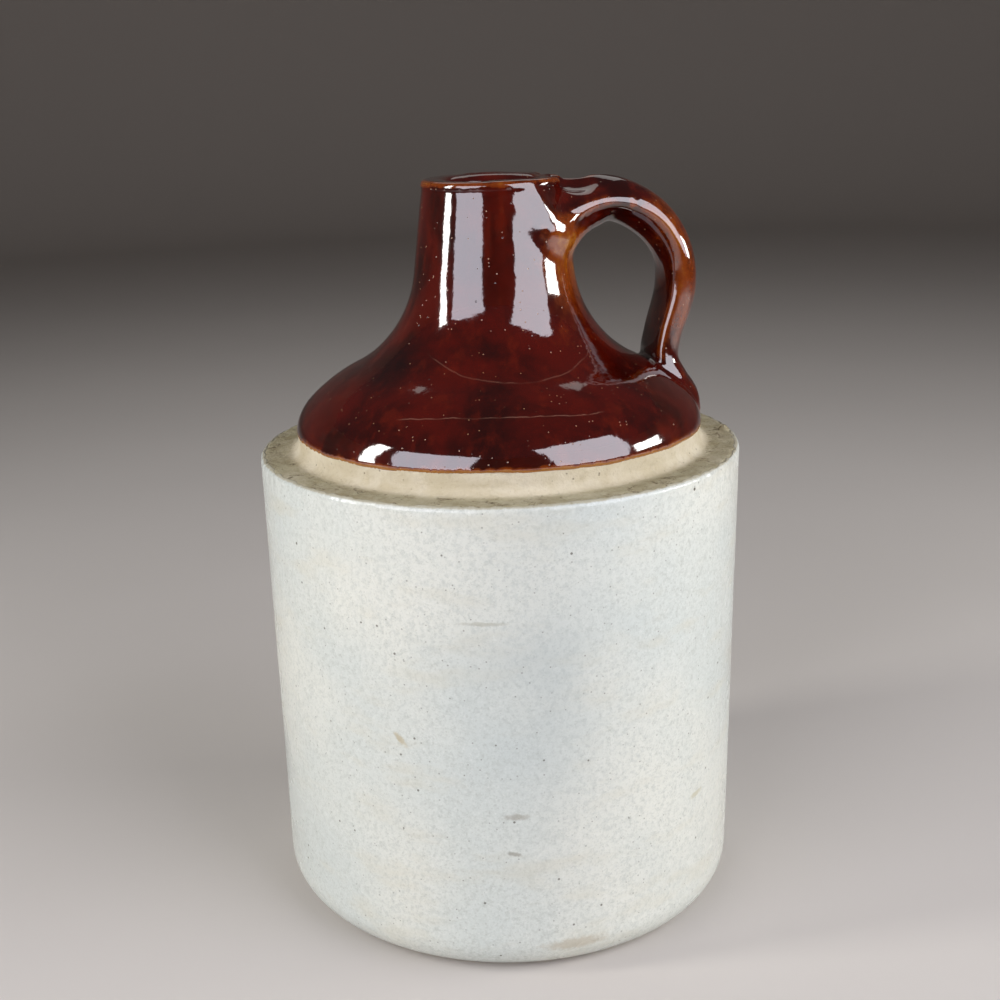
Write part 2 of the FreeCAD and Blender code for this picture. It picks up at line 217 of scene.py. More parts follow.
def outlineTable(outline, lowest, highest, widest):
    radii = np.arange(0, widest + tableStep, tableStep)
    heights = np.arange(lowest, highest + tableStep, tableStep)
    r, z = np.meshgrid(radii, heights, indexing="ij")
    nearest = np.full(r.shape, 1e9)
    inside = np.zeros(r.shape, bool)
    for (r0, z0), (r1, z1) in zip(outline, outline[1:] + outline[:1]):
        dr, dz = r1 - r0, z1 - z0
        if abs(dr) + abs(dz) < 1e-9:
            continue
        share = np.clip(((r - r0) * dr + (z - z0) * dz) / (dr * dr + dz * dz), 0, 1)
        if max(r0, r1) > 1e-6:       # the axis is not a surface
            nearest = np.minimum(nearest, np.hypot(r - r0 - share * dr, z - z0 - share * dz))
        crosses = (z0 > z) != (z1 > z)
        inside ^= crosses & (r < r0 + (z - z0) * dr / (dz if dz else 1))
    return np.where(inside, -nearest, nearest), lowest


def readTable(table, first, second, left=0.0):
    # the value between four places of a table, its edge values beyond it
    values, lowest = table
    i = np.clip((first - left) / tableStep, 0, values.shape[0] - 1.001)
    j = np.clip((second - lowest) / tableStep, 0, values.shape[1] - 1.001)
    a, b = i.astype(int), j.astype(int)
    u, v = i - a, j - b
    return ((values[a, b] * (1 - u) + values[a + 1, b] * u) * (1 - v)
            + (values[a, b + 1] * (1 - u) + values[a + 1, b + 1] * u) * v)


tableFloor, tableTop = ledgeHeight - 8, rimHeight + 8                # the tables reach this far
tableEdge = wallRadius + 4
aboveMouth = rimHeight + 14          # the section of the hollow is shut here, clear of the tables
outsideTable = outlineTable(topOutline() + [(0, rimHeight), (0, ledgeHeight - jugOutline["buried"])],
                            tableFloor, tableTop, tableEdge)
cavityTable = outlineTable(hollowOutline()
                           + [(jugOutline["bore"] + jugOutline["mouth"], aboveMouth), (0, aboveMouth)],
                           tableFloor, tableTop, tableEdge)
print("outlines done")

# The pulled strap: out from the axis, height, width, thickness, and how far above the strap's
# middle its upper and lower edge ridges lie.
strap = {
    "stations": [
        (5.1, 267.5, 47.0, 10.0, 1.5, -4.0),
        (19.0, 265.6, 40.0, 19.4, -4.2, -6.0),
        (31.0, 264.9, 28.0, 20.2, 0.0, -1.6),
        (44.7, 266.2, 24.4, 16.2, 0.7, -1.4),
        (58.8, 258.9, 24.0, 15.4, 2.3, -0.9),
        (67.6, 246.8, 24.0, 14.0, 2.0, -2.2),
        (69.4, 232.1, 23.6, 13.8, 1.6, -4.0),
        (65.4, 215.8, 22.6, 11.8, 1.2, -4.6),
        (64.4, 206.4, 24.4, 11.6, 1.0, -4.6),
        (68.4, 199.6, 29.0, 9.8, 0.9, -4.0),
        (73.0, 193.6, 30.0, 8.4, 0.8, -3.0),
        (75.2, 187.6, 27.0, 5.0, 0.6, -2.0),
    ],
    "edgeRound": 1.15,
    "crown": 2.2, "belly": 2.0,  # the powers by which its outer and inner faces arch
    "faceBlend": 0.8,            # where those two faces meet
    "rootBlend": 11.0,           # how softly it runs into the neck under its root,
    "rootRise": (218, 244), "rootFall": (266, 252),  # the heights where that grows and fades,
    "rootOut": (9, 26),          # and how far out it grows
    "footBlend": 2.2,            # into the shoulder,
    "topBlend": 1.6,             # and into the lip
    "topRise": (252, 266),
    "bead": [                    # the ridge that runs from the lip down round the root, with its radius
        (-4.0, 21.4, 273.0, 2.1), (3.0, 21.8, 272.9, 2.2), (7.4, 21.8, 272.4, 2.4),
        (10.0, 21.9, 270.4, 2.5), (11.8, 21.7, 267.6, 2.6), (13.6, 20.9, 264.8, 2.6),
        (16.0, 19.4, 262.4, 2.6), (19.0, 17.3, 260.9, 2.6), (22.2, 15.2, 260.9, 2.5),
        (26.6, 13.2, 262.8, 2.3), (31.6, 12.0, 264.8, 2.0), (36.6, 11.2, 266.0, 1.8),
        (42.0, 10.6, 266.2, 1.6), (48.0, 10.0, 265.4, 1.4),
    ],
    "beadBlend": 3.0,
    "web": [                     # the swelling under that ridge, run out onto the neck
        (6.0, 18.6, 266.0, 4.0), (12.0, 17.6, 260.0, 6.2), (18.0, 13.9, 256.0, 7.0),
        (25.0, 8.5, 258.6, 6.0), (33.0, 4.0, 262.6, 4.0),
    ],
    "webBlend": 6.0,
    "thumb": (29.5, 7.5, 277.5),                     # the middle of the hollow pressed by a thumb
    "thumbRadius": 7.6, "thumbStretch": 1.3, "thumbBlend": 3.0,
    "backmost": -16.0, "sidemost": 32.0,             # the handle and its blends stay within these,
    "ropesAbove": 236.0, "ropesWithin": 62.0,        # and the ridge and the swelling within these
}
farAway, farInside = 30.0, -20.0                     # distances where none is worked out


def curveThrough(points, count):
    # a smooth line through given points, led by the points on either side
    points = np.asarray(points, float)
    ends = np.vstack([2 * points[0] - points[1], points, 2 * points[-1] - points[-2]])
    made = []
    for n in range(len(points) - 1):
        a, b, c, d = ends[n:n + 4]
        for share in np.arange(count) / count:
            made.append(0.5 * (2 * b + (c - a) * share + (2 * a - 5 * b + 4 * c - d) * share ** 2
                               + (3 * b - a - 3 * c + d) * share ** 3))
    made.append(points[-1])
    return np.array(made)


strapLine = curveThrough(strap["stations"], 14)
strapLeft, strapRight = -2.0, 92.0   # the strap's tables reach from here to here


def strapTables():
    # for a point of the handle's middle plane: how far it lies aside of the strap's line and past
    # its ends, then the strap's width, thickness and edge ridges there
    xs = np.arange(strapLeft, strapRight, tableStep)
    zs = np.arange(tableFloor, tableTop, tableStep)
    x, z = np.meshgrid(xs, zs, indexing="ij")
    best = np.full(x.shape, 1e9)
    tables = [np.zeros(x.shape) for _ in range(6)]
    for n in range(len(strapLine) - 1):
        start, end = strapLine[n], strapLine[n + 1]
        run = end[:2] - start[:2]
        length = np.hypot(*run)
        along = ((x - start[0]) * run[0] + (z - start[1]) * run[1]) / length
        share = np.clip(along / length, 0, 1)
        aside = ((z - start[1]) * run[0] - (x - start[0]) * run[1]) / length
        gap = np.hypot(x - start[0] - share * run[0], z - start[1] - share * run[1])
        near = gap < best
        best[near] = gap[near]
        past = np.full(x.shape, farInside)
        if n == 0:
            past = -along
        if n == len(strapLine) - 2:
            past = along - length
        sideways = np.where(past > 0, aside, np.sign(aside) * gap)
        facts = [sideways, past] + [start[k] + (end[k] - start[k]) * share for k in (2, 3, 4, 5)]
        for table, fact in zip(tables, facts):
            table[near] = fact[near]
    return [(table, tableFloor) for table in tables]


strapTable = strapTables()
beadLine = curveThrough(strap["bead"], 6)
webLine = curveThrough(strap["web"], 3)


def strapDistance(x, across, z):
    aside, past, width, thick, upper, lower = (readTable(t, x, z, strapLeft) for t in strapTable)
    half, crown, belly = width / 2, strap["crown"], strap["belly"]
    u = np.clip(across / half, 0, 1.3)               # 0 in the middle, 1 at the edge
    outer = thick / 2 - (thick / 2 - upper) * u ** crown
    inner = thick / 2 - (thick / 2 + lower) * u ** belly
    outerSlope = crown * (thick / 2 - upper) * u ** (crown - 1) / half
    innerSlope = belly * (thick / 2 + lower) * u ** (belly - 1) / half
    faces = carved((aside - outer) / np.sqrt(1 + outerSlope ** 2),
                   (-aside - inner) / np.sqrt(1 + innerSlope ** 2), strap["faceBlend"])
    solid = carved(faces, across - half, strap["edgeRound"] * 2)
    return np.maximum(solid, past)


def ropeDistance(line, x, across, z):
    # a round rope of changing radius along a line
    nearest = np.full(x.shape, farAway)
    for start, end in zip(line[:-1], line[1:]):
        run = (end - start)[:3]
        share = np.clip(((x - start[0]) * run[0] + (across - start[1]) * run[1]
                         + (z - start[2]) * run[2]) / (run @ run), 0, 1)
        away = np.sqrt((x - start[0] - share * run[0]) ** 2 + (across - start[1] - share * run[1]) ** 2
                       + (z - start[2] - share * run[2]) ** 2)
        nearest = np.minimum(nearest, away - start[3] - (end[3] - start[3]) * share)
    return nearest


glazedTop = {
    "grain": 1.12,            # size of one step of the skin
    "skinLow": (-79.5, -79.5, ledgeHeight + 5),      # the skin is sought between these corners
    "skinHigh": (80.5, 79.5, rimHeight + 2.5),
    "edgeHeight": ledgeHeight + 7.0,                 # where the brown glaze ends on the collar
    "edgeWave": 0.55,                                # how far that edge wanders
    "edgeWaves": [(3, 0.6, 0.5), (7, 2.0, 0.28), (17, 1.1, 0.2), (31, 0.0, 0.1)],  # count, start, share
    "edgeBlend": 1.1,
    "swell": 0.28, "swellSize": 34.0,                # hand-thrown unevenness
    "rings": 0.012, "ringTurn": 0.95,                # throwing rings, and their turn for each millimetre
    "ringWander": 3.0, "wanderSize": 60.0,
    "evenTop": 10.0,                                 # the unevenness fades out this far below the rim
    "lipBand": 0.4, "lipRound": 1.45,                # the lip stands a little proud of the neck
    "lipSink": 0.05, "lipBlend": 0.9,
    "lining": 0.25, "liningBlend": 0.7,              # the skin stands this proud inside the neck
}


def glazeEdge(x, y):
    angle = np.arctan2(y, x)
    waves = sum(np.sin(angle * count + start) * share for count, start, share in glazedTop["edgeWaves"])
    return glazedTop["edgeHeight"] + glazedTop["edgeWave"] * waves


def rootBlends(x, z):
    # how softly the strap runs into the jug, from its foot up to the lip
    foot = strap["footBlend"]
    root = (smoothStep(*strap["rootRise"], z) * smoothStep(*strap["rootFall"], z)
            * smoothStep(*strap["rootOut"], x))
    return (foot + (strap["rootBlend"] - foot) * root
            - (foot - strap["topBlend"]) * smoothStep(*strap["topRise"], z))


def topDistance(points):
    # how far points are from the brown top's surface: the thrown top, then the pulled handle
    s = glazedTop
    x, y, z = points.T
    r = np.hypot(x, y)
    across = np.abs(y)
    thrown = readTable(outsideTable, r, z)
    uneven = (lumps(points, s["swellSize"], 3) * s["swell"]
              + np.sin(z * s["ringTurn"] + lumps(points, s["wanderSize"], 5) * s["ringWander"]) * s["rings"])
    thrown = thrown - uneven * smoothStep(rimHeight, rimHeight - s["evenTop"], z)
    lipRound = s["lipRound"]
    lipCore = np.hypot(r - (jugOutline["neckTop"] + s["lipBand"] - lipRound),
                       z - (rimHeight - lipRound - s["lipSink"])) - lipRound
    shape = melted(thrown, lipCore, s["lipBlend"])
    near = (x > strap["backmost"]) & (across < strap["sidemost"])
    px, pa, pz = x[near], across[near], z[near]
    handle = melted(shape[near], strapDistance(px, pa, pz), rootBlends(px, pz))
    high = (pz > strap["ropesAbove"]) & (px < strap["ropesWithin"])
    web = np.full(handle.shape, farAway)
    web[high] = ropeDistance(webLine, px[high], pa[high], pz[high])
    handle = melted(handle, web, strap["webBlend"])
    thumb = strap["thumb"]
    press = np.sqrt(((px - thumb[0]) / strap["thumbStretch"]) ** 2 + (pa - thumb[1]) ** 2
                    + (pz - thumb[2]) ** 2) - strap["thumbRadius"]
    handle = carved(handle, -press, strap["thumbBlend"])
    bead = np.full(handle.shape, farAway)
    bead[high] = ropeDistance(beadLine, px[high], pa[high], pz[high])
    shape[near] = melted(handle, bead, strap["beadBlend"])
    shape = carved(shape, -s["lining"] - readTable(cavityTable, r, z), s["liningBlend"])
    return carved(shape, glazeEdge(x, y) - z, s["edgeBlend"])


def skinned(distance, low, high, grain):
    # a skin of four-sided faces over the surface where the distance is 0
    shape = [int(math.ceil((high[a] - low[a]) / grain)) + 1 for a in range(3)]
    axes = [low[a] + grain * np.arange(shape[a]) for a in range(3)]
    values = np.empty(shape, np.float32)
    for n, across in enumerate(axes[0]):
        y, z = np.meshgrid(axes[1], axes[2], indexing="ij")
        points = np.stack([np.full(y.size, across), y.ravel(), z.ravel()], axis=1)
        values[n] = distance(points).reshape(y.shape)
    inside = values < 0
    # one point in each cell that the surface crosses, in the middle of its crossings
    count = sum(inside[i:shape[0] - 1 + i, j:shape[1] - 1 + j, k:shape[2] - 1 + k].astype(np.int8)
                for i in (0, 1) for j in (0, 1) for k in (0, 1))
    crossed = (count > 0) & (count < 8)
    number = np.full(crossed.shape, -1)
    number[crossed] = np.arange(crossed.sum())
    cells = np.argwhere(crossed)
    total, hits = np.zeros((len(cells), 3)), np.zeros(len(cells))
    for axis in range(3):
        ahead = np.eye(3, dtype=int)[axis]
        for i in (0, 1):
            for j in (0, 1):
                corner = np.zeros(3, int)
                corner[(axis + 1) % 3], corner[(axis + 2) % 3] = i, j
                first = values[tuple((cells + corner).T)]
                second = values[tuple((cells + corner + ahead).T)]
                cut = (first < 0) != (second < 0)
                share = first[cut] / (first[cut] - second[cut])
                total[cut] += corner + share[:, None] * ahead
                hits[cut] += 1
    points = np.array(low) + grain * (cells + total / hits[:, None])
    # one face across each edge of the lattice that the surface crosses
    faces = []
    for axis in range(3):
        b, c = (axis + 1) % 3, (axis + 2) % 3
        here = [slice(1, -1)] * 3
        here[axis] = slice(0, shape[axis] - 1)
        there = list(here)
        there[axis] = slice(1, shape[axis])
        first, second = inside[tuple(here)], inside[tuple(there)]
        for cut, turned in ((first & ~second, False), (second & ~first, True)):
            at = np.argwhere(cut) + 1
            at[:, axis] -= 1
            around = []
            for db, dc in ((-1, -1), (0, -1), (0, 0), (-1, 0)):
                cell = at.copy()
                cell[:, b] += db
                cell[:, c] += dc
                around.append(number[tuple(cell.T)])
            faces.append(np.stack(around[::-1] if turned else around, axis=1))
    return points, np.vstack(faces)


def slopes(distance, points, reach=0.25):
    # which way and how fast the distance grows at each point
    made = np.empty_like(points)
    for axis in range(3):
        step = np.zeros(3)
        step[axis] = reach
        made[:, axis] = (distance(points + step) - distance(points - step)) / (2 * reach)
    return made


def neighbourMean(points, faces, values):
    # the mean of the values at the points that share an edge with each point
    first, second = faces.ravel(), np.roll(faces, -1, axis=1).ravel()
    count = np.bincount(first, minlength=len(points)) + np.bincount(second, minlength=len(points))
    made = np.empty((len(points), values.shape[1]))
    for k in range(values.shape[1]):
        made[:, k] = (np.bincount(first, values[second, k], len(points))
                      + np.bincount(second, values[first, k], len(points))) / count
    return made


def settled(distance, points, faces, rounds=3, ease=0.6, longest=0.8):
    # spreads the vertices evenly over the surface and brings them onto it
    for turn in range(rounds):
        slope = slopes(distance, points)
        normal = slope / np.maximum(np.linalg.norm(slope, axis=1), 1e-6)[:, None]
        shift = neighbourMean(points, faces, points) - points
        shift -= normal * np.sum(shift * normal, axis=1)[:, None]
        points = points + shift * ease
        slope = slopes(distance, points)
        pull = distance(points) / np.maximum(np.sum(slope * slope, axis=1), 0.2)
        points = points - slope * np.clip(pull, -longest, longest)[:, None]
    return points


def glazeThickness(points, faces, normals, closeRounds=3, wideRounds=14):
    # glaze runs thin over ridges and pools in hollows: the bend of the surface, felt close by and widely
    bend = np.sum((points - neighbourMean(points, faces, points)) * normals, axis=1)
    bend = bend[:, None]
    for turn in range(closeRounds):
        bend = neighbourMean(points, faces, bend) * 0.6 + bend * 0.4
    fine = bend[:, 0].copy()
    for turn in range(wideRounds):
        bend = neighbourMean(points, faces, bend)
    return fine, bend[:, 0]


topPoints, topFaces = skinned(topDistance, glazedTop["skinLow"], glazedTop["skinHigh"], glazedTop["grain"])
topPoints = settled(topDistance, topPoints, topFaces)
brownTop = makeMesh("brownTop", topPoints, topFaces)
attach(brownTop, "root")
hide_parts("jug")
print("brown top", len(topPoints), "points")

clayBody = {
    "columns": 560,
    "footGap": 12, "wallGap": 14, "bareGap": 0.75, "insideGap": 9,       # between points of its section
    "underGlaze": 0.5,           # the clay lies this far under both glazes
    "rollEnd": 40.0,             # it turns this far under the brown glaze, in degrees
    "insideTop": 197.0,          # above here the brown top has its own inside
    "grit": 0.16,                # how rough the bare clay is, and its lumps: size, share, seed
    "gritLayers": [(1.7, 0.6, 11), (4.6, 0.7, 12), (14.0, 0.5, 13)],
    "bareFrom": (ledgeHeight - 3.5, ledgeHeight - 1.0),          # only the clay that shows is rough:
    "bareTo": (ledgeHeight + 26, ledgeHeight + 14),              # between these heights,
    "bareOut": (collarRadius - 5, collarRadius - 2),             # and not on the inside
    "collarOut": (collarRadius + 5, collarRadius + 1),           # within here it is worked sideways,
    "collarShare": 0.7,                                          # and less deeply
    "pits": 60, "pitDepth": 0.55, "pitSizes": (0.5, 1.3),
    "chips": [                   # knocks in the ledge's edge: bearing, depth, half width
        (-110, 1.9, 4.2), (-38, 1.1, 2.6), (-151, 1.2, 3.4), (17, 1.3, 3.0),
        (-76, 0.8, 2.2), (64, 1.4, 4.0), (128, 1.2, 3.2),
    ],
    "chipStart": 1.2, "chipShare": 0.6, "chipFloor": ledgeHeight - 5,    # how soon, far and low they cut
    "crumbs": [                  # stuck crumbs: bearing, distance from the axis, size, height
        (-8, 86.5, 1.7, 1.9), (-13, 83.0, 0.8, 1.0), (-137, 84.2, 0.7, 1.1),
        (-92, 80.4, 0.5, 0.8), (150, 82.0, 0.7, 1.2),
    ],
}


def evenly(points, gap):
    # the same line with its points no further apart than the gap
    made = [points[0]]
    for start, end in zip(points[:-1], points[1:]):
        count = max(1, math.ceil(math.hypot(end[0] - start[0], end[1] - start[1]) / gap))
        made += [(start[0] + (end[0] - start[0]) * n / count,
                  start[1] + (end[1] - start[1]) * n / count) for n in range(1, count + 1)]
    return made


def ringFaces(columns, count, closed=False):
    # four-sided faces between each ring of points and the next
    ring = np.arange(columns)
    after = (ring + 1) % columns
    faces = []
    for n in range(count if closed else count - 1):
        here, there = n * columns, (n + 1) % count * columns
        faces.append(np.stack([here + ring, here + after, there + after, there + ring], axis=1))
    return faces


def turnedGrid(line, columns):
    # an open line from axis to axis, turned into a closed skin of revolution
    rings = np.array(line[1:-1])
    angle = np.arange(columns) * 2 * math.pi / columns
    points = np.empty((len(rings), columns, 3))
    points[:, :, 0] = rings[:, :1] * np.cos(angle)
    points[:, :, 1] = rings[:, :1] * np.sin(angle)
    points[:, :, 2] = rings[:, 1:]
    faces = ringFaces(columns, len(rings))
    ring = np.arange(columns)
    after = (ring + 1) % columns
    count = len(rings) * columns
    last = count - columns
    gap = np.full(columns, -1)
    faces.append(np.stack([after, ring, np.full(columns, count), gap], axis=1))
    faces.append(np.stack([last + ring, last + after, np.full(columns, count + 1), gap], axis=1))
    ends = [(0, 0, line[0][1]), (0, 0, line[-1][1])]
    return np.vstack([points.reshape(-1, 3), ends]), np.vstack(faces)


def clayLine():
    # from the middle of the foot up the wall, over ledge and collar, and down the inside
    s = jugOutline
    under = clayBody["underGlaze"]
    outer = wallRadius - under
    heelCentre = (wallRadius - s["sideLean"] - s["heel"], s["heel"])
    edgeCentre = (outer - s["ledgeEdge"], ledgeHeight - s["ledgeEdge"])
    collar = collarRadius - under
    footCentre = (collar + s["collarFoot"], ledgeHeight + s["collarFoot"])
    foot = evenly([(0.0, 0.0), (heelCentre[0], 0.0)], clayBody["footGap"])
    heel = arcPoints(heelCentre, s["heel"] - under, -90, 0, 8)
    heel[0] = (heelCentre[0], 0.0)
    wall = evenly([heel[-1], onArc(edgeCentre, s["ledgeEdge"], 0)], clayBody["wallGap"])
    ledge = evenly(arcPoints(edgeCentre, s["ledgeEdge"], 0, 90, 15)
                   + arcPoints(footCentre, s["collarFoot"], 270, 180, 9), clayBody["bareGap"])
    rise = evenly([(collar, ledgeHeight + s["collarFoot"]), (collar, rollCentre[1])], clayBody["bareGap"])
    roll = arcPoints(rollCentre, s["roll"] - under, 0, clayBody["rollEnd"], 8)[1:]
    inside = evenly([p for p in hollowOutline() if p[1] < clayBody["insideTop"]], clayBody["insideGap"])
    return foot + heel[1:] + wall[1:] + ledge[1:] + rise[1:] + roll + inside[::-1]


clayPoints, clayFaces = turnedGrid(clayLine(), clayBody["columns"])


def workedClay(points):
    # rough bare clay on the ledge and collar, with pits, chips and stuck crumbs
    s = clayBody
    x, y, z = points.T
    r = np.hypot(x, y)
    safe = np.maximum(r, 1)
    angle = np.degrees(np.arctan2(y, x))
    bare = smoothStep(*s["bareFrom"], z) * smoothStep(*s["bareTo"], z) * smoothStep(*s["bareOut"], r)
    lift = lumpLayers(points, s["gritLayers"]) * s["grit"]
    rng = np.random.default_rng(21)
    for n in range(s["pits"]):
        where, out = rng.uniform(-180, 180), rng.uniform(collarRadius + 3, wallRadius - 1)
        size = rng.uniform(*s["pitSizes"])
        away = np.hypot(r - out, (angle - where) * math.radians(out))
        lift -= s["pitDepth"] * rng.uniform(0.5, 1.0) * np.exp(-(away / size) ** 2)
    for where, out, size, height in s["crumbs"]:
        away = np.hypot(r - out, (angle - where) * math.radians(out))
        knob = np.exp(-(away / size) ** 4) * (1 + 0.3 * lumps(points, 1.1, 17))
        lift += height * knob
    sideways = smoothStep(*s["collarOut"], r)
    moved = points.copy()
    moved[:, 2] += lift * bare * (1 - sideways)
    moved[:, 0] += x / safe * lift * bare * sideways * s["collarShare"]
    moved[:, 1] += y / safe * lift * bare * sideways * s["collarShare"]
    for where, deep, wide in s["chips"]:
        along = (angle - where + 180) % 360 - 180
        reach = np.clip(1 - (along * math.radians(wallRadius) / wide) ** 2, 0, 1)
        past = r + z - (wallRadius + ledgeHeight) + deep * reach + s["chipStart"]
        knock = np.clip(past, 0, None) * (reach > 0)
        knock *= (z > s["chipFloor"]) * (1 + 0.35 * lumps(points, 1.3, 19))
        moved[:, 2] -= knock * s["chipShare"]
        moved[:, 0] -= x / safe * knock * s["chipShare"]
        moved[:, 1] -= y / safe * knock * s["chipShare"]
    return moved


clayJug = makeMesh("clayJug", workedClay(clayPoints), clayFaces)
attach(clayJug, "root")
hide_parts("jug")
print("clay body", len(clayPoints), "points")

whiteCoat = {
    "columns": 620,
    "step": 1.55,
    "thickness": 1.1,
    # the rings of its back, inside the clay: how far up, share of the thickness, lift
    "backRings": [(1.0, 0.6, -0.7), (0.9, 1, 0), (0.72, 1, 0), (0.4, 1, 0), (0.12, 1, 0), (0.04, 1, 0),
                  (0.0, 0.6, 0.5)],
    "swell": 0.22, "swellLayers": [(46.0, 0.7, 41), (21.0, 0.3, 42)],        # broad unevenness,
    "inset": 0.6,                # drawn in by this share of it, so that it stays inside the jug's size
    "ripple": 0.05,              # close unevenness
    "wrap": 72.0,                # how far it runs round the ledge's edge, in degrees,
    "ragged": 26.0,              # and how unevenly
    "raggedLayers": [(14.0, 0.6, 31), (3.6, 0.6, 32), (1.7, 0.5, 33)],
    "rimLumps": 0.3, "rimLayers": [(5.2, 0.5, 35), (2.1, 0.5, 36)],          # beads along its upper edge,
    "rimOut": (ledgeHeight - 9, ledgeHeight - 3),    # outwards from here
    "rimUp": (ledgeHeight - 2, ledgeHeight),         # and upwards from here,
    "rimUpShare": 0.5,
    "rimRadius": 90.0,           # the layers of the edge are felt on a circle this large
    "proud": 0.12,               # the upper edge stands this far above the clay
    "footBare": 1.6,             # wiped clean this far up from the foot
    # painted shade and painted reflection of the dark room: the front between the two window lamps made
    # cooler and darker: bearing, height, half width in radians, half height, strength
    "paintedShadePatch": (-94.0, 124.0, 0.36, 60.0, 0.5),
    # stains and scuffs: bearing, height, half width in radians, half height, lean, colour
    "stains": [
        (-99.7, 66.6, 0.055, 1.5, 0.0, (150, 146, 132)),
        (-100.4, 52.0, 0.03, 1.2, 14.0, (138, 134, 120)),
        (-50.0, 56.7, 0.05, 1.4, -9.0, (186, 180, 146)),
        (-125.8, 93.6, 0.02, 3.0, 9.0, (176, 160, 118)),
        (-106.0, 139.0, 0.11, 0.9, 0.0, (172, 172, 156)),
        (-86.0, 13.0, 0.16, 3.0, 0.0, (180, 170, 146)),
        (34.0, 96.0, 0.08, 1.6, 8.0, (176, 170, 150)),
        (120.0, 62.0, 0.06, 1.8, -6.0, (168, 162, 144)),
    ],
}


def coatGrid():
    # rings up the outside of the wall and round the ledge's edge, then back down inside the clay
    s = jugOutline
    c = whiteCoat
    heelCentre = (wallRadius - s["sideLean"] - s["heel"], s["heel"])
    turn = s["ledgeEdge"]
    edgeCentre = (wallRadius - turn, ledgeHeight - turn)
    bare = math.degrees(math.asin(1 - c["footBare"] / s["heel"]))
    heel = arcPoints(heelCentre, s["heel"], -bare, 0, 4)
    outer = evenly(heel + [(wallRadius, edgeCentre[1])], c["step"])
    columns = c["columns"]
    angle = np.arange(columns) * 2 * math.pi / columns
    around = np.stack([np.cos(angle), np.sin(angle)], axis=1)
    rim = np.stack([around[:, 0] * c["rimRadius"], around[:, 1] * c["rimRadius"], np.zeros(columns)], axis=1)
    wrap = np.radians(c["wrap"] + c["ragged"] * lumpLayers(rim, c["raggedLayers"]))
    rows = [np.stack([around[:, 0] * r, around[:, 1] * r, np.full(columns, z)], axis=1)
            for r, z in outer]
    for share in np.linspace(0, 1, 8)[1:]:
        r = edgeCentre[0] + turn * np.cos(wrap * share)
        z = edgeCentre[1] + turn * np.sin(wrap * share) + c["proud"]
        rows.append(np.stack([around[:, 0] * r, around[:, 1] * r, z], axis=1))
    grid = np.array(rows)
    rimLift = np.tile(lumpLayers(rim, c["rimLayers"]) * c["rimLumps"], len(rows))
    flat = grid.reshape(-1, 3)
    r = np.hypot(flat[:, 0], flat[:, 1])
    swell = lumpLayers(flat, c["swellLayers"]) * c["swell"]
    swell += (lumps(flat * (1, 1, 2.4), 9.0, 43) * 0.6 + lumps(flat, 4.0, 44) * 0.4) * c["ripple"]
    swell -= c["swell"] * c["inset"]
    swell += rimLift * smoothStep(*c["rimOut"], flat[:, 2])
    flat[:, 2] += rimLift * smoothStep(*c["rimUp"], flat[:, 2]) * c["rimUpShare"]
    flat[:, 0] += flat[:, 0] / r * swell
    flat[:, 1] += flat[:, 1] / r * swell
    inner = []
    for share, depth, lift in c["backRings"]:
        row = grid[int(round(share * (len(rows) - 1)))].copy()
        r = np.hypot(row[:, 0], row[:, 1])
        row[:, 0] -= row[:, 0] / r * c["thickness"] * depth
        row[:, 1] -= row[:, 1] / r * c["thickness"] * depth
        row[:, 2] += lift
        inner.append(row)
    grid = np.concatenate([grid, np.array(inner)])
    return grid.reshape(-1, 3), np.vstack(ringFaces(columns, len(grid), closed=True))


coatPoints, coatFaces = coatGrid()
whiteGlaze = makeMesh("whiteGlaze", coatPoints, coatFaces)
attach(whiteGlaze, "root")
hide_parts("jug")
print("white glaze coat", len(coatPoints), "points")


